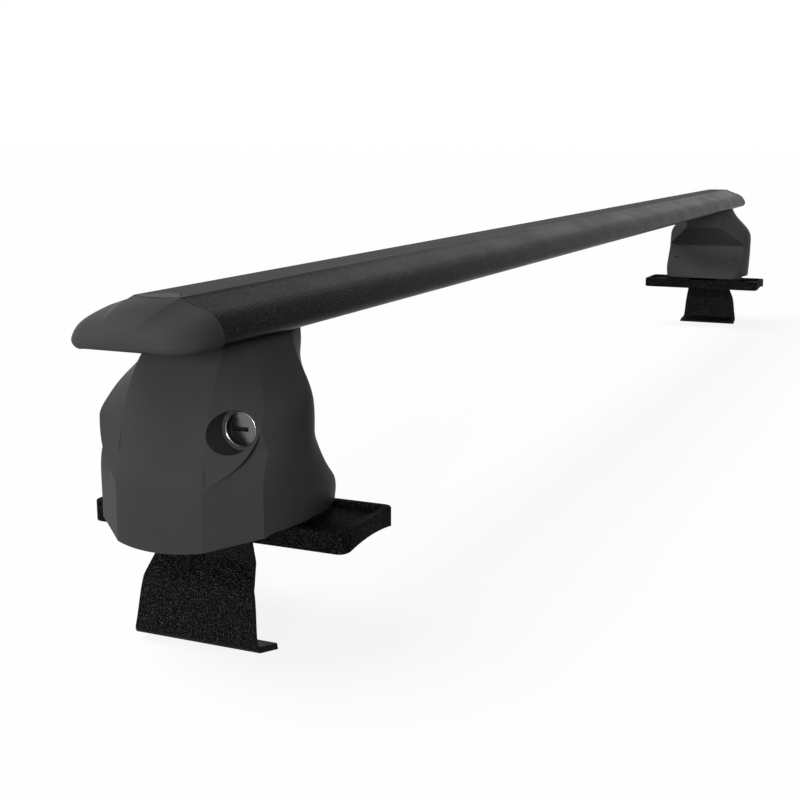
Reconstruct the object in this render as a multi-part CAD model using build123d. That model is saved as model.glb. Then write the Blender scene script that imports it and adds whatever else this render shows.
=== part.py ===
from build123d import *
import os
from math import hypot, sqrt

# Roof rack crossbar: an aerofoil bar on two clamp feet.
# Sizes are in millimetres. X runs along the bar, Y across it and Z up.
# Heights are measured from the car's roof, where the pads' undersides lie, until the last step.
# A foot is drawn about its own pad centre with +X outboard, and is then set at each end of the bar.

# Bar
bar_length = 1367.0
bar_half_width = 36.0
bar_height = 23.0
bar_bottom = 105.0
bar_land_half = 12.6
bar_wall = 2.4
slot_mouth = 11.0
slot_width = 20.0
slot_depth = 6.0
slot_rib = 2.5
top_slot_depth = 6.6
strip_thickness = 2.4
strip_lip = 0.6
strip_gap = 0.25
strip_root_width = 15.0
mouth_overlap = 0.4

# End cap
cap_length = 33.0
cap_nose_height = 4.0
cap_plug_length = 18.0
cap_plug_gap = 0.2
cap_tongue_reach = 14.0
cap_tongue_bulge = 4.0
cap_plan_power = 3.1
cap_top_power = 2.3
cap_top_slope = 0.14
cap_under_power = 5.0
cap_crown = 1.9

# Feet
foot_inset = 71.5
foot_wall = 2.6
foot_top_gap = 0.5
seam_x = 42.5
seam_gap = 0.4

# Rubber pad
pad_length = 150.0
pad_width = 57.2
pad_height = 11.0
pad_corner = 5.5
pad_rim = 5.0
pad_floor = 8.2
pad_arch = 2.6
pad_edge = 0.8

# Steel bracket inside the foot
sheet = 4.0
bracket_half = 22.0
flange_half = 46.0
shelf_height = 66.0
shelf_sheet = 4.0
top_plate_reach = (-18.0, 37.0)
flange_back = -14.0
flange_gap = 0.4
cheek_waist = (17.6, 32.0)
cheek_foot = (-10.0, 17.0)
cheek_front_heights = (20.0, 50.0, 76.0, 92.0)
cheek_back_heights = (90.0, 63.0, 53.0)

# Clamp hook
hook_sheet = 3.0
hook_bend = 3.5
hook_outer_x = 38.0
hook_tab_height = 44.0
hook_tab_end = 14.0
hook_drop = 54.0
hook_leg_end = -7.0
hook_knee = (8.2, -19.0)
hook_heel = (12.2, 6.0)
hook_lip = (-6.6, 0.4)
hook_blank_half = 40.0

# Tension screw, M8
screw_x = 24.0
screw_radius = 4.0
screw_run_gap = 0.06
screw_end = 26.0
screw_head_radius = 6.5
screw_head_height = 8.0
screw_socket = 6.0
screw_head_chamfer = 0.8
screw_point_chamfer = 0.9
washer_radius = 8.0
washer_sheet = 1.6
hook_nut_side = 14.0
hook_nut_height = 6.5

# T-bolts that hold the foot to the bar, M8
t_bolt_places = (-8.0, 27.0)
t_head_length = 17.0
t_head_height = 4.0
t_slide_gap = 0.4
t_bolt_end = 90.0
t_washer_radius = 8.0
nut_across_flats = 13.0
nut_height = 6.5
hole_gap = 0.3

# Screws that hold the rear housing
ear_screw_place = (2.0, 39.5)
ear_screw_radius = 2.0
ear_head_radius = 4.0
ear_head_height = 2.4
ear_thickness = 4.0
ear_size = (16.0, 15.0)
ear_shift = 1.5
ear_way_top = 40.0

# Lock, on the outer cover
lock_y = 33.6
lock_z = 65.0
lock_well_radius = 10.2
lock_face_x = 55.8
lock_barrel_radius = 8.6
lock_barrel_back = 43.6
lock_rotor_radius = 5.5
lock_tail_radius = 4.0
lock_run_gap = 0.06
lock_fit_gap = 0.1
boss_wall = 2.4
boss_reach = 12.0
rotor_setback = 0.4
rotor_tail_end = 1.0
keyway = (8.0, 2.2, 7.0)
cam_front = 38.6
cam_sheet = 3.0
cam_reach = 13.0
cam_half = 5.0
cam_rim = 3.0
catch_gap = 0.7
catch_sheet = 2.6
catch_half_height = 7.0
catch_reach = 9.0

# Plan outline of the foot at several heights, one side of it, from the front to the car side:
# height, front crease, hollow of the side facet, outer crease, widest point, rear corner, rear edge.
foot_levels = [
    (4.0, (76.5, 24.0), (67.1, 35.1), (57.7, 46.2), (28.0, 51.5), (-15.0, 46.0), (-21.4, 41.5)),
    (22.0, (76.5, 24.0), (67.1, 35.1), (57.7, 46.2), (28.0, 53.4), (-15.0, 47.5), (-21.4, 42.0)),
    (38.0, (76.5, 24.0), (66.9, 34.9), (57.9, 46.2), (28.0, 54.0), (-3.0, 48.6), (-22.5, 36.0)),
    (46.0, (75.2, 24.0), (64.6, 33.6), (56.6, 46.4), (28.5, 54.0), (4.5, 49.0), (-23.8, 30.5)),
    (54.0, (72.3, 24.0), (61.6, 32.6), (53.4, 46.6), (29.0, 54.0), (10.0, 49.0), (-24.5, 26.0)),
    (66.0, (69.9, 23.7), (64.0, 34.2), (57.7, 45.6), (30.0, 53.6), (10.4, 49.0), (-25.0, 22.0)),
    (74.0, (67.6, 23.5), (60.2, 34.0), (52.2, 44.0), (29.0, 51.8), (10.0, 48.0), (-25.0, 21.8)),
    (82.0, (64.0, 23.3), (55.4, 32.3), (46.4, 40.5), (28.0, 46.0), (8.0, 44.0), (-25.0, 21.8)),
    (92.0, (57.6, 23.0), (48.1, 28.6), (38.5, 33.5), (24.0, 37.2), (3.0, 36.0), (-25.0, 22.6)),
    (104.5, (47.4, 21.0), (41.0, 24.0), (34.0, 26.4), (17.0, 28.6), (-5.0, 27.6), (-24.3, 23.4)),
]
foot_front_bow = 5.0
foot_level_count = 17

# The car side of the foot is drawn in to a waist: its profile, seen along Y
waist_top = (-26.0, 82.0)
waist_deep = (12.0, 56.5)
waist_ledge = (8.5, 54.5)
waist_flare = [(6.0, 45.0), (-8.5, 31.0), (-18.6, 21.5), (-22.0, 12.0)]

# Underside of the foot, seen along Y: it rises from the front to clear the pad
foot_bottom = [(95.0, 4.2), (82.0, 7.4), (52.0, 15.0), (0.0, 15.4), (-40.0, 11.6)]

# The leaf-shaped pad that carries the lock, on a leaning plane across the front corner
leaf_normal = (0.875, 0.485, 0.21)
leaf_tip_x = 76.5
leaf_tip = (24.0, 38.0)
leaf_low_edge = [(30.6, 43.0), (38.6, 50.2), (43.2, 58.0)]
leaf_outer = (45.6, 66.0)
leaf_inner = (23.7, 66.0)
leaf_thickness = 6.0

# Hook side edge: half width at each height, above and below the roof
hook_half_widths = [
    (50.0, 16.2), (30.0, 20.0), (6.0, 26.0), (-8.0, 28.5), (-19.0, 31.5), (-44.0, 34.8), (-58.0, 38.6),
]

# How far every cutting shape runs past what it cuts
cut_reach = 120.0

# Sizes that follow from the ones above
bar_top = bar_bottom + bar_height
bar_half = bar_length / 2
foot_half_spacing = bar_half - foot_inset
recess_half = bar_land_half - strip_lip
recess_floor = bar_top - strip_thickness
slot_floor = bar_bottom + slot_rib
top_slot_top = recess_floor - slot_rib + mouth_overlap
top_slot_floor = top_slot_top - top_slot_depth
chamber_start = slot_width / 2 + bar_wall
foot_top = bar_bottom - foot_top_gap
plate_bottom = bar_bottom - sheet
washer_top_z = shelf_height + shelf_sheet
screw_head_bottom = washer_top_z + washer_sheet
flange_top = pad_floor + sheet


def box_between(low, high):
    """A block from its lowest corner to its highest."""
    size = [b - a for a, b in zip(low, high)]
    return Pos(*low) * Box(*size, align=(Align.MIN, Align.MIN, Align.MIN))


def rod(radius, bottom, top, x=0.0, y=0.0):
    """An upright round rod."""
    return Pos(x, y, bottom) * Cylinder(radius, top - bottom, align=(Align.CENTER, Align.CENTER, Align.MIN))


def rod_along_x(radius, start, end, y=0.0, z=0.0):
    """A round rod that lies along X."""
    place = Pos(start, y, z) * Rot(0, 90, 0)
    return place * Cylinder(radius, end - start, align=(Align.CENTER, Align.CENTER, Align.MIN))


def hexagon_prism(across_flats, bottom, top, x=0.0, y=0.0):
    """An upright hexagonal prism."""
    outline = RegularPolygon(across_flats / 2, 6, major_radius=False)
    return Pos(x, y, bottom) * extrude(outline, top - bottom)


def face_of(*edges):
    """The face inside a closed run of edges."""
    return make_face(Wire(list(edges)).edges())


def aerofoil(half_width, land_half, bottom, top, crown=0.0):
    """Section of the bar: a flat or crowned land, flanks that fall to round noses, and a flat underside."""
    height = top - bottom
    shares = [(0.611, 0.826), (0.886, 0.622), (0.975, 0.40), (1.0, 0.20), (0.95, 0.057)]
    flank = [(land_half, top)]
    for across, up in shares:
        flank.append((half_width * across, bottom + height * up))
    flank.append((half_width * 0.82, bottom))
    left = [(-y, z) for y, z in flank]
    right_edge = Spline(*flank)
    left_edge = Spline(*reversed(left))
    top_edge = Spline(left[0], (0, top + crown), flank[0]) if crown else Line(left[0], flank[0])
    bottom_edge = Line(flank[-1], left[-1])
    return face_of(top_edge, right_edge, bottom_edge, left_edge)


def bar_section():
    """The extrusion's section, with its strip recess, two T-slots and two side chambers."""
    outer = aerofoil(bar_half_width, bar_land_half, bar_bottom, bar_top)
    section = Sketch() + outer
    section -= Pos(0, recess_floor) * Rectangle(2 * recess_half, strip_thickness, align=(Align.CENTER, Align.MIN))
    section -= Pos(0, top_slot_top) * Rectangle(slot_mouth, slot_rib, align=(Align.CENTER, Align.MIN))
    section -= Pos(0, top_slot_floor) * Rectangle(slot_width, top_slot_depth, align=(Align.CENTER, Align.MIN))
    section -= Pos(0, slot_floor) * Rectangle(slot_width, slot_depth, align=(Align.CENTER, Align.MIN))
    section -= Pos(0, bar_bottom) * Rectangle(slot_mouth, slot_rib, align=(Align.CENTER, Align.MIN))
    return section - side_chambers(0.0)


def side_chambers(shrink):
    """The two hollow chambers beside the T-slots, drawn in by a fit."""
    wall = bar_wall + shrink
    inner = aerofoil(bar_half_width - wall, bar_land_half - wall / 4, bar_bottom + wall, bar_top - wall)
    middle = Pos(0, bar_bottom) * Rectangle(2 * (chamber_start + shrink), 3 * bar_height)
    return inner - middle


def tongue_outline(grow):
    """Plan outline of the cap's tongue: a lens that reaches into the strip recess and out over the dome."""
    reach = cap_tongue_reach + grow
    half = recess_half + grow
    inner_edge = Bezier((0, half), (-2 * reach, 0), (0, -half))
    outer_edge = Bezier((0, -half), (2 * cap_tongue_bulge, 0), (0, half))
    return face_of(inner_edge, outer_edge)


def crossbar():
    """The aluminium extrusion."""
    return Pos(-bar_half, 0, 0) * extrude(Plane.YZ * bar_section(), bar_length)


def top_strip():
    """The rubber strip that fills the top slot, cut round at each end for the caps' tongues."""
    cover = Pos(0, recess_floor) * Rectangle(2 * (recess_half - strip_gap), strip_thickness,
                                             align=(Align.CENTER, Align.MIN))
    neck = Pos(0, top_slot_top) * Rectangle(slot_mouth - 2 * strip_gap, slot_rib, align=(Align.CENTER, Align.MIN))
    root = Pos(0, top_slot_top) * Rectangle(strip_root_width, slot_rib, align=(Align.CENTER, Align.MAX))
    strip = Pos(-bar_half, 0, 0) * extrude(Plane.YZ * (cover + neck + root), bar_length)
    end_cut = Pos(bar_half, 0, bar_bottom) * extrude(tongue_outline(strip_gap), bar_height * 2)
    return strip - end_cut - Rot(0, 0, 180) * end_cut


def cap_section(share):
    """Outline of the end cap at a share of its length, crowned and shrinking to the nose."""
    wide = (1 - share ** cap_plan_power) ** (1 / cap_plan_power)
    tall = (1 - share ** cap_top_power) ** (1 / cap_top_power) * (1 - cap_top_slope * share)
    under = 1 - sqrt(1 - share ** cap_under_power)
    crown = cap_crown * tall * (1 - (1 - share) ** 3)
    nose = bar_bottom + cap_nose_height
    top = nose + (bar_top - nose) * tall
    bottom = bar_bottom + (nose - bar_bottom) * under
    return aerofoil(bar_half_width * wide, bar_land_half * wide, bottom, top - crown, crown)


def end_cap():
    """The moulded cap on the +X end: a domed nose, two plugs and a tongue over the strip slot."""
    shares = (0.0, 0.2, 0.42, 0.62, 0.78, 0.89, 0.96, 0.99)
    sections = [Pos(cap_length * s, 0, 0) * (Plane.YZ * cap_section(s)) for s in shares]
    dome = loft(sections)
    plugs = extrude(Plane.YZ * side_chambers(cap_plug_gap), -cap_plug_length)
    tongue = Pos(0, 0, recess_floor) * extrude(tongue_outline(-cap_plug_gap), strip_thickness)
    return Pos(bar_half, 0, 0) * (dome + plugs + tongue)


def left_normal(start, end):
    """The unit vector to the left of the way from one point to the next."""
    length = hypot(end[0] - start[0], end[1] - start[1])
    return (start[1] - end[1]) / length, (end[0] - start[0]) / length


def shifted(points, amount):
    """The inner points of a run, moved so that each straight between them shifts to its left."""
    moved = []
    for before, here, after in zip(points, points[1:], points[2:]):
        ax, ay = left_normal(before, here)
        bx, by = left_normal(here, after)
        share = amount / (1 + ax * bx + ay * by)
        moved.append((here[0] + (ax + bx) * share, here[1] + (ay + by) * share))
    return moved


def value_at(heights, values, height):
    """A value read from a table at any height, on a smooth curve that never overshoots."""
    steps = [(b - a) / (high - low) for a, b, low, high in zip(values, values[1:], heights, heights[1:])]
    inner = [2 * a * b / (a + b) if a * b > 0 else 0.0 for a, b in zip(steps, steps[1:])]
    slopes = [steps[0]] + inner + [steps[-1]]
    spans = zip(heights, heights[1:], values, values[1:], slopes, slopes[1:])
    for low, high, start, end, slope_in, slope_out in spans:
        if height <= high:
            break
    gap = high - low
    share = (height - low) / gap
    blend = share * share * (3 - 2 * share)
    lead = share * (1 - share) ** 2 * slope_in - share ** 2 * (1 - share) * slope_out
    return start + (end - start) * blend + gap * lead


def foot_level(height):
    """The points of the foot's plan outline at a height, one side of it."""
    heights = [level[0] for level in foot_levels]
    points = []
    for track in list(zip(*foot_levels))[1:]:
        xs, ys = zip(*track)
        points.append((value_at(heights, xs, height), value_at(heights, ys, height)))
    return points


def foot_outline(height, wall):
    """Plan outline of the foot at one height, drawn in by a wall."""
    front, hollow, crease, widest, corner, edge = foot_level(height)
    side = [(front[0] + foot_front_bow, 0.0), front, hollow, crease, widest, corner, edge]
    ring = [(front[0], -front[1])] + side + [(edge[0], -edge[1])]
    nose, front, hollow, crease, widest, corner, edge = shifted(ring, wall)
    half = [Line(front, hollow), Line(hollow, crease), ThreePointArc(crease, widest, corner), Line(corner, edge)]
    other_half = [mirror(piece, about=Plane.XZ).edge() for piece in half]
    front_edge = ThreePointArc((front[0], -front[1]), nose, front)
    rear_edge = Line(edge, (edge[0], -edge[1]))
    return Pos(0, 0, height) * face_of(front_edge, *half, rear_edge, *other_half)


def leaf_point(y, z):
    """The point of the leaf's leaning plane at one distance from the middle and one height."""
    nx, ny, nz = leaf_normal
    return (leaf_tip_x - (ny * (y - leaf_tip[0]) + nz * (z - leaf_tip[1])) / nx, y, z)


def leaf():
    """The raised leaf of one side, from its sharp tip up to the outer crease."""
    tip = leaf_point(*leaf_tip)
    outer = leaf_point(*leaf_outer)
    inner = leaf_point(*leaf_inner)
    lower = Spline(tip, *[leaf_point(*place) for place in leaf_low_edge], outer)
    outline = make_face([lower, Line(outer, inner), Line(inner, tip)])
    return extrude(outline, amount=leaf_thickness, dir=[-n for n in leaf_normal])


def waist_cutter(wall):
    """What is taken from the car side of the foot, kept a wall away from the inside."""
    far_x = waist_top[0] - cut_reach
    run = [(far_x, waist_top[1]), waist_top, waist_deep, waist_ledge] + waist_flare + [(far_x, waist_flare[-1][1])]
    top, deep, ledge, *flare = shifted(run, wall)
    outside = (far_x, top[1])
    below = (far_x, flare[-1][1])
    profile = face_of(
        Line(outside, top),
        Line(top, deep),
        Line(deep, ledge),
        Spline(ledge, *flare),
        Line(flare[-1], below),
        Line(below, outside),
    )
    return extrude(Plane.XZ * profile, cut_reach, both=True)


def bottom_cutter():
    """What is taken from under the foot."""
    low = [(foot_bottom[-1][0], -cut_reach), (foot_bottom[0][0], -cut_reach)]
    profile = Polygon(*foot_bottom, *low, align=None)
    return extrude(Plane.XZ * profile, cut_reach, both=True)


def foot_body(wall):
    """The foot's outer form, or with a wall, the space inside it."""
    low, high = foot_levels[0][0], foot_levels[-1][0]
    rise = (high - low) / (foot_level_count - 1)
    body = loft([foot_outline(low + rise * i, wall) for i in range(foot_level_count)])
    if not wall:
        one = leaf()
        body = body + one + mirror(one, about=Plane.XZ)
    return body - waist_cutter(wall)


def lock_boss():
    """The tube behind the lock's well, before its bore."""
    return rod_along_x(lock_well_radius + boss_wall, seam_x + seam_gap, lock_face_x + boss_reach, lock_y, lock_z)


def foot_shells():
    """The foot's two mouldings: the outer cover and the rear housing."""
    outer = foot_body(0.0) - bottom_cutter()
    inner = foot_body(foot_wall)
    shell = outer - inner
    front = box_between((seam_x + seam_gap / 2, -cut_reach, -cut_reach), (cut_reach, cut_reach, cut_reach))
    back = box_between((-cut_reach, -cut_reach, -cut_reach), (seam_x - seam_gap / 2, cut_reach, cut_reach))
    cover = shell & front
    cover += lock_boss() & outer
    cover -= rod_along_x(lock_well_radius, lock_face_x, cut_reach, lock_y, lock_z)
    cover -= rod_along_x(lock_barrel_radius + lock_fit_gap, 0, cut_reach, lock_y, lock_z)
    housing = shell & back
    housing += lock_catch() & outer
    for side in (1, -1):
        housing += housing_ear(side)
        housing -= rod(ear_screw_radius + hole_gap, 0, ear_way_top, ear_screw_place[0], side * ear_screw_place[1])
    return cover, housing


def lock_catch():
    """The rib inside the rear housing that the lock's cam turns behind."""
    rib_back = cam_front + catch_gap
    low = (rib_back, lock_y + catch_reach, lock_z - catch_half_height)
    high = (rib_back + catch_sheet, lock_y + cut_reach, lock_z + catch_half_height)
    return box_between(low, high)


def housing_ear(side):
    """The lug by which the rear housing is screwed to the bracket's flange."""
    x, y = ear_screw_place
    length, width = ear_size
    place = Pos(x, side * (y + ear_shift), flange_top)
    return place * Box(length, width, ear_thickness, align=(Align.CENTER, Align.CENTER, Align.MIN))


def rubber_pad():
    """The tray-like rubber pad, arched underneath to sit on a curved roof."""
    block = extrude(RectangleRounded(pad_width, pad_length, pad_corner), pad_height)
    inner = RectangleRounded(pad_width - 2 * pad_rim, pad_length - 2 * pad_rim, pad_corner / 2)
    block -= Pos(0, 0, pad_floor) * extrude(inner, pad_height)
    radius = ((pad_width / 2) ** 2 + pad_arch ** 2) / (2 * pad_arch)
    arch = Pos(0, 0, pad_arch - radius) * Rot(90, 0, 0) * Cylinder(radius, pad_length * 1.2)
    rim = block.edges().filter_by(Plane.XY).group_by(Axis.Z)[-1]
    return fillet(rim, pad_edge) - arch


def foot_bracket():
    """The folded steel bracket that stands on the pad and carries the bar."""
    outside = [(flange_half, pad_floor), (flange_half, flange_top), (bracket_half, flange_top),
               (bracket_half, bar_bottom)]
    inside = [(bracket_half - sheet, plate_bottom), (bracket_half - sheet, pad_floor)]
    half = outside + inside
    whole = outside + [(-y, z) for y, z in reversed(outside)]
    hollow = inside + [(-y, z) for y, z in reversed(inside)]
    section = Polygon(*whole, align=None) - Polygon(*hollow, align=None)
    folded = extrude(Plane.YZ * section, cut_reach, both=True)
    low = flange_back
    high = pad_width / 2 - pad_rim - flange_gap
    narrow, wide = cheek_waist
    back, front = top_plate_reach
    knee, bend, flare, lip = cheek_front_heights
    back_lip, back_flare, back_bend = cheek_back_heights
    side_view = Polygon(
        (low, pad_floor), (high, pad_floor), (high, knee), (wide, bend), (wide, flare), (front, lip),
        (front, bar_bottom), (back, bar_bottom), (back, back_lip), (narrow, back_flare), (narrow, back_bend),
        cheek_foot, (low, flange_top),
        align=None,
    )
    body = folded & extrude(Plane.XZ * side_view, cut_reach, both=True)
    shelf_half = bracket_half - sheet
    body += box_between((narrow, -shelf_half, shelf_height), (wide, shelf_half, shelf_height + shelf_sheet))
    body -= rod(screw_radius + hole_gap, shelf_height - 1, washer_top_z + 1, screw_x)
    for x in t_bolt_places:
        body -= rod(screw_radius + hole_gap, plate_bottom - 1, bar_bottom + 1, x)
    for side in (1, -1):
        body -= rod(ear_screw_radius + hole_gap, pad_floor - 1, flange_top + 1, ear_screw_place[0],
                    side * ear_screw_place[1])
    return body


def clamp_hook():
    """The folded hook: a tab on the screw, a long leg and a lip that grips the door frame."""
    offset_in = hook_sheet / 2
    x = hook_outer_x - offset_in
    line = FilletPolyline(
        (hook_tab_end, hook_tab_height - offset_in),
        (x, hook_tab_height - offset_in),
        (x, hook_leg_end),
        (x + hook_knee[0], hook_knee[1]),
        (x + hook_heel[0], hook_heel[1] - hook_drop),
        (x + hook_lip[0], hook_lip[1] + offset_in - hook_drop),
        radius=hook_bend,
    )
    profile = trace(line, hook_sheet)
    sheet_body = extrude(Plane.XZ * profile, hook_blank_half, both=True)
    right = [(half, height) for height, half in hook_half_widths]
    left = [(-half, height) for half, height in right]
    front_view = face_of(
        Line(left[0], right[0]),
        Spline(*right),
        Line(right[-1], left[-1]),
        Spline(*reversed(left)),
    )
    body = sheet_body & extrude(Plane.YZ * front_view, cut_reach, both=True)
    return body - rod(screw_radius + hole_gap, 0, cut_reach, screw_x)


def hook_nut():
    """The square nut welded under the hook's tab."""
    top = hook_tab_height - hook_sheet
    block = Pos(screw_x, 0, top) * Box(hook_nut_side, hook_nut_side, hook_nut_height,
                                       align=(Align.CENTER, Align.CENTER, Align.MAX))
    return block - rod(screw_radius + screw_run_gap, 0, cut_reach, screw_x)


def tension_screw():
    """The screw that draws the hook up, with a socket in its head."""
    shank = rod(screw_radius, screw_end, screw_head_bottom + 1, screw_x)
    head = rod(screw_head_radius, screw_head_bottom, screw_head_bottom + screw_head_height, screw_x)
    head = chamfer(head.edges().group_by(Axis.Z)[-1], screw_head_chamfer)
    socket_bottom = screw_head_bottom + screw_head_height / 2
    socket = hexagon_prism(screw_socket, socket_bottom, socket_bottom + screw_head_height, screw_x)
    shank = chamfer(shank.edges().group_by(Axis.Z)[0], screw_point_chamfer)
    return shank + head - socket


def screw_washer():
    """The washer under the tension screw's head."""
    ring = rod(washer_radius, washer_top_z, screw_head_bottom, screw_x)
    return ring - rod(screw_radius + hole_gap, 0, cut_reach, screw_x)


def t_bolts():
    """The two T-bolts whose heads ride in the bar's lower slot."""
    bolts = Part()
    half = slot_width / 2 - t_slide_gap
    for x in t_bolt_places:
        head = box_between((x - t_head_length / 2, -half, slot_floor), (x + t_head_length / 2, half,
                                                                        slot_floor + t_head_height))
        bolts += head + rod(screw_radius, t_bolt_end, slot_floor + 1, x)
    return bolts


def t_bolt_washers():
    """The washers under the bracket's top plate."""
    rings = Part()
    for x in t_bolt_places:
        rings += rod(t_washer_radius, plate_bottom - washer_sheet, plate_bottom, x)
        rings -= rod(screw_radius + hole_gap, 0, cut_reach, x)
    return rings


def t_bolt_nuts():
    """The nuts that pull the T-bolts tight."""
    nuts = Part()
    top = plate_bottom - washer_sheet
    for x in t_bolt_places:
        nuts += hexagon_prism(nut_across_flats, top - nut_height, top, x)
        nuts -= rod(screw_radius, 0, cut_reach, x)
    return nuts


def housing_screws():
    """The two pan-head screws through the rear housing's lugs."""
    screws = Part()
    x, y = ear_screw_place
    seat = flange_top + ear_thickness
    for side in (1, -1):
        screws += rod(ear_screw_radius, pad_floor, seat + 1, x, side * y)
        screws += rod(ear_head_radius, seat, seat + ear_head_height, x, side * y)
    return screws


def lock_barrel():
    """The lock's fixed barrel, pressed into the cover."""
    body = rod_along_x(lock_barrel_radius, lock_barrel_back, lock_face_x, lock_y, lock_z)
    return body - rod_along_x(lock_rotor_radius + lock_run_gap, 0, cut_reach, lock_y, lock_z)


def lock_rotor():
    """The turning core of the lock, with its keyway and a tail for the cam."""
    core = rod_along_x(lock_rotor_radius, lock_barrel_back, lock_face_x - rotor_setback, lock_y, lock_z)
    tail = rod_along_x(lock_tail_radius, cam_front - cam_sheet - rotor_tail_end, lock_barrel_back + 1, lock_y, lock_z)
    wide, tall, deep = keyway
    slot = Pos(lock_face_x, lock_y, lock_z) * Box(2 * deep, wide, tall)
    return core + tail - slot


def lock_cam():
    """The flat cam on the lock's tail; it points down when the cover is free."""
    back = cam_front - cam_sheet
    plate = rod_along_x(lock_tail_radius + cam_rim, back, cam_front, lock_y, lock_z)
    plate += box_between((back, lock_y - cam_half, lock_z - cam_reach), (cam_front, lock_y + cam_half, lock_z))
    return plate - rod_along_x(lock_tail_radius, 0, cut_reach, lock_y, lock_z)


def foot_pieces():
    """Every piece of one foot, about its own pad centre."""
    cover, housing = foot_shells()
    return {
        "outer_cover": cover,
        "rear_housing": housing,
        "rubber_pad": rubber_pad(),
        "foot_bracket": foot_bracket(),
        "clamp_hook": clamp_hook(),
        "hook_nut": hook_nut(),
        "tension_screw": tension_screw(),
        "screw_washer": screw_washer(),
        "t_bolts": t_bolts(),
        "t_bolt_washers": t_bolt_washers(),
        "t_bolt_nuts": t_bolt_nuts(),
        "housing_screws": housing_screws(),
        "lock_barrel": lock_barrel(),
        "lock_rotor": lock_rotor(),
        "lock_cam": lock_cam(),
    }


def all_pieces():
    """Every piece of the part in its place, with heights still from the roof."""
    cap = end_cap()
    half_turn = Rot(0, 0, 180)
    pieces = {
        "crossbar": crossbar(),
        "top_strip": top_strip(),
        "end_cap_far": cap,
        "end_cap_near": half_turn * cap,
    }
    for name, shape in foot_pieces().items():
        placed = Pos(foot_half_spacing, 0, 0) * shape
        pieces[name + "_far"] = placed
        pieces[name + "_near"] = half_turn * placed
    return pieces


def main():
    """Stands the part on its hooks and writes one file for each piece."""
    os.makedirs("parts", exist_ok=True)
    pieces = all_pieces()
    floor = min(shape.bounding_box().min.Z for shape in pieces.values())
    for name, shape in pieces.items():
        export_step(Pos(0, 0, -floor) * shape, "parts/" + name + ".step")
    print("roof height above the floor", round(-floor, 4))


main()
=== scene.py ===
# %% [markdown]
# # A roof rack crossbar
# This lesson dresses a finished CAD model. The bar, its end caps, the two clamp feet, their pads, hooks,
# screws and locks come as solids from the CAD program, each in its real place and size, and nothing here
# moves or reshapes them. What Blender adds is how the thing looks: the grain of the powder coat, the satin
# of the mouldings, the rubber, the plating, a fine rim round each lock, and a plain studio.

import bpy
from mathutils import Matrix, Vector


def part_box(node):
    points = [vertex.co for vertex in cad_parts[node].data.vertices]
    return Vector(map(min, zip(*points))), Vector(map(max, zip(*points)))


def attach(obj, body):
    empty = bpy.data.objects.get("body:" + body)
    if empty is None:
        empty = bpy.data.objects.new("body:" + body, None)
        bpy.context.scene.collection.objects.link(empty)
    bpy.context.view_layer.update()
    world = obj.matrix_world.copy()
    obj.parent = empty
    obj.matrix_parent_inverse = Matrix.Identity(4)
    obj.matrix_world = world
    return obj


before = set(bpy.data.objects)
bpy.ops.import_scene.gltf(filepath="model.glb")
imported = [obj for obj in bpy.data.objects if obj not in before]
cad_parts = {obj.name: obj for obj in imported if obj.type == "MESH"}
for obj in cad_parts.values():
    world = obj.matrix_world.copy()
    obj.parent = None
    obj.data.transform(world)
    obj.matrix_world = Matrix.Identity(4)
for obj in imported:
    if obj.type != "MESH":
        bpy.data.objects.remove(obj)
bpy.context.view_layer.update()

# %% The tools used below
import math

import bmesh
import bpy
from mathutils import Matrix, Vector

print("Blender", bpy.app.version_string)

# %% [markdown]
# ## The way to a material
# Every finish here is a Principled BSDF whose colour, roughness and normal come from noise. A painted image
# could give them too, but it would need an unwrapping of every piece, and noise has no seams. The noise reads
# Object coordinates. All the pieces have their origin at the same point, so the coordinates are metres on the
# real object, and a scale of 1000 means a grain about a millimetre across, on every piece alike.

# %% Adding a node and filling its inputs
def put(tree, kind, **values):
    """Adds a node and sets its properties."""
    node = tree.nodes.new(kind)
    for name, value in values.items():
        setattr(node, name, value)
    return node


def feed(tree, node, inputs):
    """Fills inputs, by name or by number, with a plain value or a link from another node's output."""
    for name, value in inputs.items():
        if isinstance(value, bpy.types.NodeSocket):
            tree.links.new(value, node.inputs[name])
        else:
            node.inputs[name].default_value = value


print("helpers:", put.__name__, feed.__name__)

# %% [markdown]
# ## Four small parts of a pattern
# The patterns below are put together from the same four steps: a noise, a part of its range stretched out, a
# mix of two colours, and a bump. Each is one node, so each gets one function, and the patterns then read as
# a sentence does.

# %% Noise, range, mix and bump
def noise(tree, place, scale, detail=2.0, roughness=0.5):
    """A noise texture, with its place read from a socket."""
    node = put(tree, "ShaderNodeTexNoise")
    feed(tree, node, {"Vector": place, "Scale": scale, "Detail": detail, "Roughness": roughness})
    return node.outputs["Fac"]


def ranged(tree, value, low, high, to_low=0.0, to_high=1.0):
    """Stretches a range of a value over another range, and cuts off what is outside."""
    node = put(tree, "ShaderNodeMapRange")
    feed(tree, node, {"Value": value, "From Min": low, "From Max": high, "To Min": to_low, "To Max": to_high})
    return node.outputs["Result"]


def blended(tree, share, first, second):
    """Mixes two colours by a share between 0 and 1."""
    node = put(tree, "ShaderNodeMix", data_type="RGBA")
    feed(tree, node, {"Factor": share, "A": (*first, 1.0), "B": (*second, 1.0)})
    return node.outputs["Result"]


def bumped(tree, height, depth, strength):
    """A normal that follows a height, which is worth a depth in metres."""
    node = put(tree, "ShaderNodeBump")
    feed(tree, node, {"Strength": strength, "Distance": depth, "Height": height})
    return node.outputs["Normal"]


print("helpers:", [step.__name__ for step in (noise, ranged, blended, bumped)])

# %% [markdown]
# ## Groups
# An effect that several finishes share is built once, as a node group with named inputs, and every material
# holds it with its own numbers. Copying the nodes into each material would work as well, but then a change
# would have to be made everywhere.

# %% A group with named sockets
number_socket = "NodeSocketFloat"
vector_socket = "NodeSocketVector"


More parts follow.
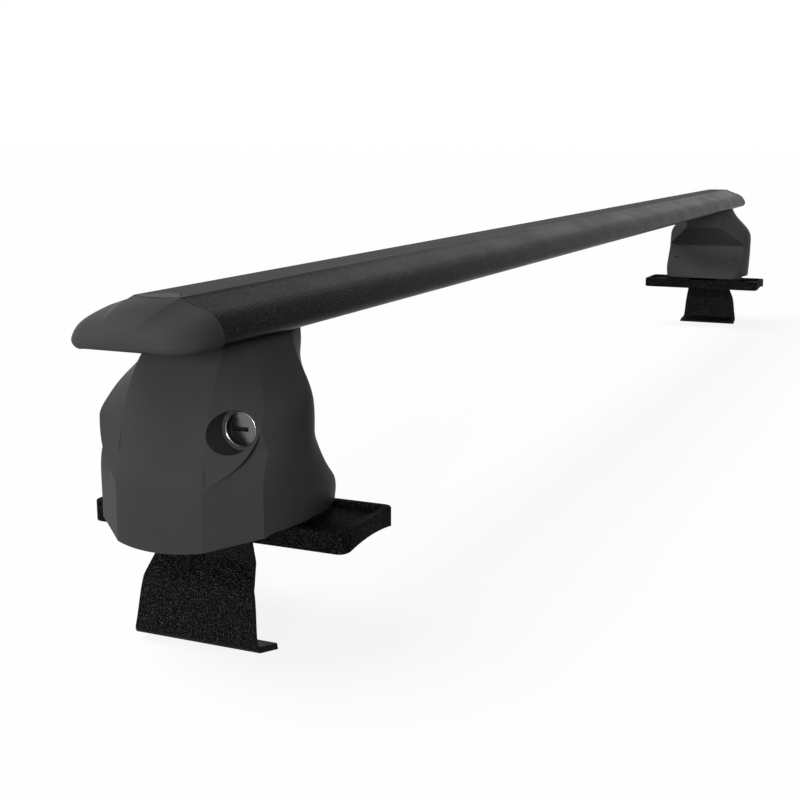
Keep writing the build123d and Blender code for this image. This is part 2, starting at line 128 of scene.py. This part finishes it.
def new_group(name, inputs, outputs):
    """A shader node group with number inputs and their defaults, and its two end nodes."""
    group = bpy.data.node_groups.new(name, "ShaderNodeTree")
    for label, number in inputs.items():
        socket = group.interface.new_socket(label, in_out="INPUT", socket_type=number_socket)
        socket.default_value = number
    for label, kind in outputs.items():
        group.interface.new_socket(label, in_out="OUTPUT", socket_type=kind)
    return group, put(group, "NodeGroupInput"), put(group, "NodeGroupOutput")


print("helper:", new_group.__name__)

# %% [markdown]
# ## Speckle
# Powder coat and grained rubber both have small hard grains that catch the light one by one. Real grains
# would take millions of faces, so noise stands for them, and the same noise is the height of a bump. Its
# peaks are also painted as light flecks on the black: a painted glint for the light that the grains catch,
# the same under any lamp. A slower noise lets the polish drift from place to place.

# %% The speckle group
# The noise runs from 0 to 1 and keeps near the middle, so only its peaks reach past the lower threshold
# below, and those peaks carry the painted glints.
painted_glint_starts = 0.57
painted_glint_full = 0.64
drift_scale = 30.0
drift_low = 0.35
drift_high = 0.65


def speckle_group():
    """Grains of a textured coat: a mask of painted glints on the grain peaks, a slow drift and a bumped
    normal.
    """
    group, start, end = new_group(
        "speckle",
        {"Scale": 1200.0, "Depth": 0.0002, "Strength": 0.5},
        {"Painted Glint": number_socket, "Drift": number_socket, "Normal": vector_socket},
    )
    place = put(group, "ShaderNodeTexCoord").outputs["Object"]
    fine = noise(group, place, start.outputs["Scale"], detail=1.0, roughness=0.6)
    slow = noise(group, place, drift_scale)
    feed(group, end, {
        "Painted Glint": ranged(group, fine, painted_glint_starts, painted_glint_full),
        "Drift": ranged(group, slow, drift_low, drift_high),
        "Normal": bumped(group, fine, start.outputs["Depth"], start.outputs["Strength"]),
    })
    return group


speckle = speckle_group()
print("group:", speckle.name)

# %% [markdown]
# ## Moulding grain
# The cap and the foot's shells are injection moulded with a fine spark-eroded grain, so they look satin and
# almost even. A plain colour would look like paper. The group gives a very fine bump, and a slow change of
# tone and roughness like the one that handling and the flow of the plastic leave.

# %% The moulding grain group
flow_scale = 22.0
flow_low = 0.3
flow_high = 0.7
grain_strength = 0.35


def moulding_grain_group():
    """Fine grain of a moulding: a tone mask, a roughness and a bumped normal."""
    group, start, end = new_group(
        "moulding_grain",
        {"Scale": 2600.0, "Depth": 0.00004, "Smooth": 0.38, "Rough": 0.50},
        {"Tone": number_socket, "Roughness": number_socket, "Normal": vector_socket},
    )
    place = put(group, "ShaderNodeTexCoord").outputs["Object"]
    fine = noise(group, place, start.outputs["Scale"])
    slow = noise(group, place, flow_scale, detail=3.0)
    polish = ranged(group, slow, flow_low, flow_high, start.outputs["Smooth"], start.outputs["Rough"])
    feed(group, end, {
        "Tone": ranged(group, slow, flow_low, flow_high),
        "Roughness": polish,
        "Normal": bumped(group, fine, start.outputs["Depth"], grain_strength),
    })
    return group


moulding_grain = moulding_grain_group()
print("group:", moulding_grain.name)

# %% [markdown]
# ## The finishes
# A finish is a few numbers on one of the two groups. Those that are the same all over a piece, such as the
# specular level, are set on the shader itself. Only what changes over the surface comes from the group.

# %% A material on a group
def started(name, group, settings):
    """A new material that holds a group, with its tree, its shader and the group's outputs."""
    material = bpy.data.materials.new(name)
    material.use_nodes = True
    tree = material.node_tree
    grain = put(tree, "ShaderNodeGroup", node_tree=group)
    feed(tree, grain, settings)
    return material, tree, tree.nodes["Principled BSDF"], grain.outputs


print("helper:", started.__name__)

# %% [markdown]
# ## Coats and rubber
# The bar is powder coated, the hooks and brackets have a rougher coat, and the pads are grained rubber. All
# three are nearly black between their grains, with a painted glint in a lighter colour on the grain peaks, so
# they share a function. They differ in how bright the painted glints are and in their polish, and the bar's
# grains are larger and lower.

# %% Speckled finishes
nearly_black = (0.001, 0.001, 0.001)


def speckled(name, light, roughness, specular, scale, depth, strength):
    """A finish with grains: nearly black between them, and a painted glint in a lighter colour on them."""
    settings = {"Scale": scale, "Depth": depth, "Strength": strength}
    material, tree, shader, grain = started(name, speckle, settings)
    feed(tree, shader, {
        "Base Color": blended(tree, grain["Painted Glint"], nearly_black, light),
        "Roughness": ranged(tree, grain["Drift"], 0.0, 1.0, *roughness),
        "Specular IOR Level": specular,
        "Normal": grain["Normal"],
    })
    return material


# Each light colour below is the painted glint on the grain peaks, the same under any lamp.
bar_coat = speckled("bar_powder_coat", light=(0.058, 0.058, 0.060), roughness=(0.28, 0.34), specular=0.024,
                    scale=1500.0, depth=0.0002, strength=0.4)
hook_coat = speckled("hook_coat", light=(0.056, 0.056, 0.056), roughness=(0.50, 0.62), specular=0.03,
                     scale=1900.0, depth=0.0003, strength=0.6)
pad_rubber = speckled("pad_rubber", light=(0.045, 0.045, 0.045), roughness=(0.60, 0.75), specular=0.02,
                      scale=1900.0, depth=0.0003, strength=0.6)
print("finishes:", bar_coat.name, hook_coat.name, pad_rubber.name)

# %% [markdown]
# ## Mouldings
# The caps, the foot's shells and the strip in the bar's top slot are all dark grey, each in a tone of its
# own. The strip is rubber and duller, and the others share one polish.

# %% Moulded finishes
satin_polish = (0.42, 0.50)
dull_polish = (0.60, 0.70)
satin_specular = 0.02
moulded_scale = 2600.0
moulded_depth = 0.00004


def grained(name, dark, light, roughness, scale, depth, plain):
    """A finish on the moulding grain, and what is the same all over the shader by its input's name."""
    smooth, rough = roughness
    settings = {"Scale": scale, "Depth": depth, "Smooth": smooth, "Rough": rough}
    material, tree, shader, grain = started(name, moulding_grain, settings)
    feed(tree, shader, {
        "Base Color": blended(tree, grain["Tone"], dark, light),
        "Roughness": grain["Roughness"],
        "Normal": grain["Normal"],
        **plain,
    })
    return material


def moulding(name, dark, light, roughness=satin_polish):
    """A satin moulding in a tone that drifts a little."""
    plain = {"Specular IOR Level": satin_specular}
    return grained(name, dark, light, roughness, moulded_scale, moulded_depth, plain)


strip_rubber = moulding("strip_rubber", dark=(0.070, 0.070, 0.072), light=(0.077, 0.077, 0.079),
                        roughness=dull_polish)
cap_plastic = moulding("cap_plastic", dark=(0.065, 0.065, 0.066), light=(0.071, 0.071, 0.072))
foot_plastic = moulding("foot_plastic", dark=(0.055, 0.055, 0.056), light=(0.061, 0.061, 0.062))
print("finishes:", strip_rubber.name, cap_plastic.name, foot_plastic.name)

# %% [markdown]
# ## Metal
# The fasteners are zinc plated, which leaves a pale metal a little uneven in tone and polish. The lock's face
# is chromed and dark, and its rim is brighter. Both mirror whatever is in front of them, so they keep a low
# roughness with faint marks. The moulding grain serves here as well, with larger and lower grains.

# %% Metal finishes
plate_depth = 0.00002
zinc_scale = 420.0
chrome_scale = 900.0


def plated(name, dark, light, roughness, scale):
    """A metal whose tone and polish drift a little."""
    return grained(name, dark, light, roughness, scale, plate_depth, {"Metallic": 1.0})


zinc_plate = plated("zinc_plate", dark=(0.50, 0.50, 0.48), light=(0.62, 0.62, 0.61),
                    roughness=(0.28, 0.42), scale=zinc_scale)
lock_chrome = plated("lock_chrome", dark=(0.10, 0.10, 0.103), light=(0.15, 0.15, 0.153),
                     roughness=(0.12, 0.20), scale=chrome_scale)
rim_chrome = plated("rim_chrome", dark=(0.30, 0.30, 0.305), light=(0.36, 0.36, 0.365),
                    roughness=(0.10, 0.16), scale=chrome_scale)
print("finishes:", zinc_plate.name, lock_chrome.name, rim_chrome.name)

# %% [markdown]
# ## Which finish goes where
# A node's name says what it is, so a table from the name to the finish dresses all of them. Each foot could
# be dressed by hand, but with a table the two feet can't come out different.

# %% Finishes on the CAD nodes
ends = ("near", "far")
finish_of = {
    "crossbar": bar_coat,
    "top_strip": strip_rubber,
    "end_cap": cap_plastic,
    "outer_cover": foot_plastic,
    "rear_housing": foot_plastic,
    "rubber_pad": pad_rubber,
    "foot_bracket": hook_coat,
    "clamp_hook": hook_coat,
    "hook_nut": zinc_plate,
    "tension_screw": zinc_plate,
    "screw_washer": zinc_plate,
    "t_bolts": zinc_plate,
    "t_bolt_washers": zinc_plate,
    "t_bolt_nuts": zinc_plate,
    "housing_screws": zinc_plate,
    "lock_barrel": lock_chrome,
    "lock_rotor": lock_chrome,
    "lock_cam": zinc_plate,
}


def kind_of(name):
    """A node's name without the end of the bar that it is at."""
    for end in ends:
        name = name.removesuffix("_" + end)
    return name


for name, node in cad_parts.items():
    node.data.materials.clear()
    node.data.materials.append(finish_of[kind_of(name)])
print("dressed:", len(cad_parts), "nodes")

# %% [markdown]
# ## Things of the scene
# The rims, the floor, the lamps and the camera are all new objects, and each has to be linked to the scene
# before it is seen. A mesh gets its finish at the same time, and its place is in its points, so the object
# itself stays at the origin.

# %% New objects
def placed(name, data):
    """An object of the scene that holds a mesh, a lamp or a camera."""
    holder = bpy.data.objects.new(name, data)
    bpy.context.scene.collection.objects.link(holder)
    return holder


def made(name, shape, finish):
    """An object from a bmesh, which is used up, in one finish."""
    mesh = bpy.data.meshes.new(name)
    shape.to_mesh(mesh)
    shape.free()
    mesh.materials.append(finish)
    return placed(name, mesh)


print("helpers:", placed.__name__, made.__name__)

# %% [markdown]
# ## The lock's rim
# The barrel of the lock has a rolled rim round its face. It is thin, but it catches the light as a bright arc
# deep in the well. Blender's own torus would do, but it would have to be turned and sized by hand. Here a
# small circle is spun once round the lock's axis, with its place and size from the barrel's box, and the ring
# rides on the cover.

# %% A rolled rim on each lock
rim_wire = 0.0004
wire_sides = 16
rim_steps = 96


def lock_rim(end):
    """A thin ring on the edge of the barrel's face, half sunk in it."""
    low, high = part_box("lock_barrel_" + end)
    face_x = low[0] if end == "near" else high[0]
    middle = Vector((face_x, (low[1] + high[1]) / 2, (low[2] + high[2]) / 2))
    ring_radius = (high[2] - low[2]) / 2 - rim_wire
    shape = bmesh.new()
    bmesh.ops.create_circle(shape, segments=wire_sides, radius=rim_wire)
    bmesh.ops.translate(shape, verts=shape.verts[:], vec=middle + Vector((0.0, ring_radius, 0.0)))
    section = shape.verts[:] + shape.edges[:]
    bmesh.ops.spin(shape, geom=section, cent=middle, axis=(1.0, 0.0, 0.0), angle=2 * math.pi,
                   steps=rim_steps, use_merge=True)
    bmesh.ops.recalc_face_normals(shape, faces=shape.faces[:])
    for face in shape.faces:
        face.smooth = True
    ring = made("lock_rim_" + end, shape, rim_chrome)
    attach(ring, "cover_" + end)
    return ring


rims = [lock_rim(end) for end in ends]
print("rims:", [(rim.name, len(rim.data.polygons)) for rim in rims])

# %% [markdown]
# ## The floor
# The part stands on its hooks on a pale floor. A white background alone would leave it hanging, with no
# shadow under it. So the floor is a matt sheet that gives back a fifth of the light that falls on it, and it
# glows wherever it is looked at, directly or in a mirror. Together that comes out as white as the paper of a
# catalogue, and where the part keeps the lamps off it a soft shadow stays.

# %% What is looked at
def seen_directly(tree):
    """1 for rays from the camera and for those that mirrors and glass send on, and 0 for all others."""
    rays = put(tree, "ShaderNodeLightPath").outputs
    seen = rays["Is Camera Ray"]
    for kind in ("Is Glossy Ray", "Is Transmission Ray"):
        larger = put(tree, "ShaderNodeMath", operation="MAXIMUM")
        feed(tree, larger, {0: seen, 1: rays[kind]})
        seen = larger.outputs["Value"]
    return seen


print("helper:", seen_directly.__name__)

# %% The floor and its glow
floor_tone = 0.20
floor_glow = 0.88
floor_half_size = 30.0


def floor_finish():
    """A matt sheet that glows where it is looked at."""
    material = bpy.data.materials.new("studio_floor")
    material.use_nodes = True
    tree = material.node_tree
    strength = put(tree, "ShaderNodeMath", operation="MULTIPLY")
    feed(tree, strength, {0: seen_directly(tree), 1: floor_glow})
    feed(tree, tree.nodes["Principled BSDF"], {
        "Base Color": (floor_tone, floor_tone, floor_tone, 1.0),
        "Roughness": 1.0,
        "Specular IOR Level": 0.0,
        "Emission Color": (1.0, 1.0, 1.0, 1.0),
        "Emission Strength": strength.outputs["Value"],
    })
    return material


sheet = bmesh.new()
bmesh.ops.create_grid(sheet, x_segments=1, y_segments=1, size=floor_half_size)
floor = made("studio_floor", sheet, floor_finish())
print("floor:", floor.dimensions[:])

# %% [markdown]
# ## Light
# Black objects are lit by what they mirror as much as by lamps. The world is white where it is seen directly
# or mirrored, and only a dim grey as light, because an even white light from all sides would take the form
# away. Three broad lamps shape it: one from overhead and the left for the strip and the caps, a low one that
# shines along the bar on the ends of the feet, and a weak one from the left.

# %% The world
ambient = 0.08

world = bpy.data.worlds.new("studio")
bpy.context.scene.world = world
world.use_nodes = True
sky = world.node_tree
feed(sky, sky.nodes["Background"], {
    "Color": (1.0, 1.0, 1.0, 1.0),
    "Strength": ranged(sky, seen_directly(sky), 0.0, 1.0, ambient, 1.0),
})
print("ambient light:", ambient)

# %% Three broad lamps
def lamp(name, toward, strength, spread):
    """A broad sun-like lamp: its direction, its watts per square metre and its spread in degrees."""
    light = bpy.data.lights.new(name, "SUN")
    light.energy = strength
    light.angle = math.radians(spread)
    holder = placed(name, light)
    holder.rotation_mode = "QUATERNION"
    holder.rotation_quaternion = Vector(toward).to_track_quat("Z", "Y")
    return holder


lamps = [
    lamp("overhead", toward=(-0.15, 0.50, 0.85), strength=1.4, spread=40.0),
    lamp("end_on", toward=(-0.97, -0.18, 0.12), strength=2.5, spread=20.0),
    lamp("left", toward=(-0.50, 0.84, 0.05), strength=0.30, spread=30.0),
]
print("lamps:", [holder.name for holder in lamps])

# %% [markdown]
# ## The camera
# The photograph looks along the bar from near one end, a little from above. Its place, direction and focal
# length were worked out from the straight edges of the bar and the pad, so the render has the same frame.

# %% The camera in the photograph's place
camera_place = Vector((-1.1874, -0.3467, 0.2536))
camera_yaw = math.radians(23.98)
camera_pitch = math.radians(-11.36)
camera_roll = math.radians(0.05)
# The lens and the sensor are in millimetres, and all other lengths here in metres.
camera_lens = 59.02
camera_sensor = 36.0
nearest_seen = 0.01
farthest_seen = 100.0

camera = placed("camera", bpy.data.cameras.new("camera"))
bpy.context.scene.camera = camera
looks_along = Vector((
    math.cos(camera_pitch) * math.cos(camera_yaw),
    math.cos(camera_pitch) * math.sin(camera_yaw),
    math.sin(camera_pitch),
))
turn = looks_along.to_track_quat("-Z", "Y").to_matrix() @ Matrix.Rotation(camera_roll, 3, "Z")
camera.rotation_mode = "QUATERNION"
camera.rotation_quaternion = turn.to_quaternion()
camera.location = camera_place
camera.data.sensor_width = camera_sensor
camera.data.lens = camera_lens
camera.data.clip_start = nearest_seen
camera.data.clip_end = farthest_seen
bpy.context.scene.view_settings.view_transform = "Standard"
print("camera at", [round(v, 3) for v in camera_place], "lens", camera_lens)
